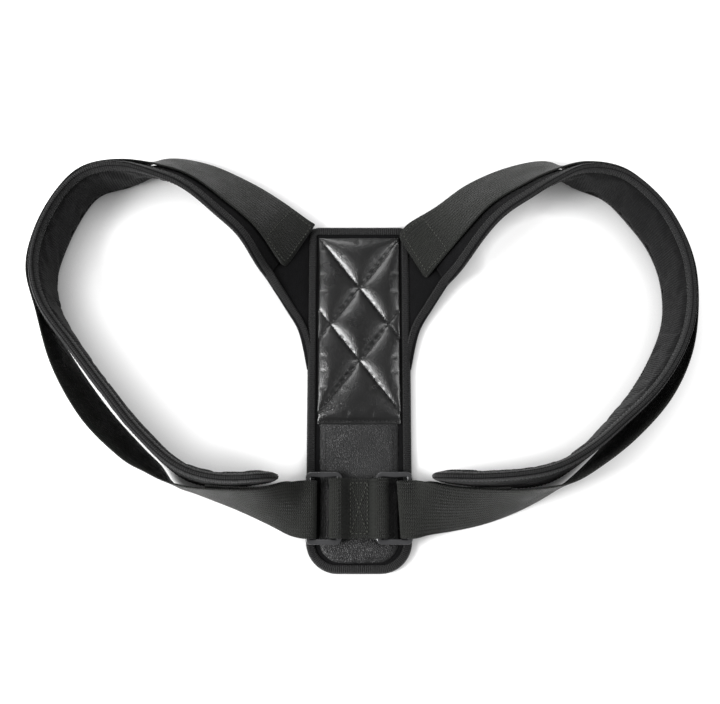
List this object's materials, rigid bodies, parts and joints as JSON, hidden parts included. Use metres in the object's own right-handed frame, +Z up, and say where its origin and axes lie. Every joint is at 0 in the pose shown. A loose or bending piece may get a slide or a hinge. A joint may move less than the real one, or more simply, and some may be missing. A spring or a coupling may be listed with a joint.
{
  "type": "back brace",
  "caption": "Posture back brace: padded spine panel with two padded shoulder loops on webbing straps that turn through rectangular rings.",
  "frame": {"origin": "centre of the back panel's skin-side face, which lies on the surface", "axes": "+X across the brace to the right, +Y along the spine towards the neck, +Z up off the surface, out of the panel's outer face"},
  "size_m": [0.5463, 0.3548, 0.0628],
  "materials": {
    "leatherette": "glossy grained faux leather",
    "smooth_leatherette": "satin faux leather",
    "brushed_fabric": "brushed loop-pile fabric",
    "lining_fabric": "soft knitted lining",
    "binding_tape": "ribbed binding tape",
    "webbing": "woven nylon webbing",
    "hook_tape": "hook tape",
    "foam": "matt foam",
    "board": "matt board",
    "thread": "matt sewing thread",
    "ring_metal": "satin black coating"
  },
  "bodies": {
    "back_panel": {"panel_lining": "lining_fabric", "panel_core": "board", "panel_cover": "brushed_fabric", "panel_binding": "binding_tape", "quilted_pad": "leatherette", "quilt_stitching": "thread", "lower_patch": "smooth_leatherette", "patch_stitching": "thread", "ring_tab": "webbing", "tab_stitching": "thread"},
    "left_loop": {"left_pad_foam": "foam", "left_pad_cover": "brushed_fabric", "left_pad_lining": "lining_fabric", "left_pad_lower_tape": "binding_tape", "left_pad_upper_tape": "binding_tape", "left_gusset": "brushed_fabric", "left_gusset_tape": "binding_tape", "left_strap": "webbing", "left_hook_tape": "hook_tape", "left_strap_stitching": "thread"},
    "left_ring": {"left_ring": "ring_metal"},
    "right_loop": {"right_pad_foam": "foam", "right_pad_cover": "brushed_fabric", "right_pad_lining": "lining_fabric", "right_pad_lower_tape": "binding_tape", "right_pad_upper_tape": "binding_tape", "right_gusset": "brushed_fabric", "right_gusset_tape": "binding_tape", "right_strap": "webbing", "right_hook_tape": "hook_tape", "right_strap_stitching": "thread"},
    "right_ring": {"right_ring": "ring_metal"}
  },
  "joints": [
    {"name": "left_loop_fold", "type": "hinge", "parent": "back_panel", "child": "left_loop", "pos_m": [-0.0415, 0, 0.01265], "axis": [0, 1, 0], "range_deg": [0, 60]},
    {"name": "right_loop_fold", "type": "hinge", "parent": "back_panel", "child": "right_loop", "pos_m": [0.0415, 0, 0.01265], "axis": [0, -1, 0], "range_deg": [0, 60]},
    {"name": "left_ring_swing", "type": "hinge", "parent": "back_panel", "child": "left_ring", "pos_m": [-0.0163, -0.094, 0.01265], "axis": [0, 1, 0], "range_deg": [0, 2.5]},
    {"name": "right_ring_swing", "type": "hinge", "parent": "back_panel", "child": "right_ring", "pos_m": [0.0163, -0.094, 0.01265], "axis": [0, -1, 0], "range_deg": [0, 2.5]}
  ]
}
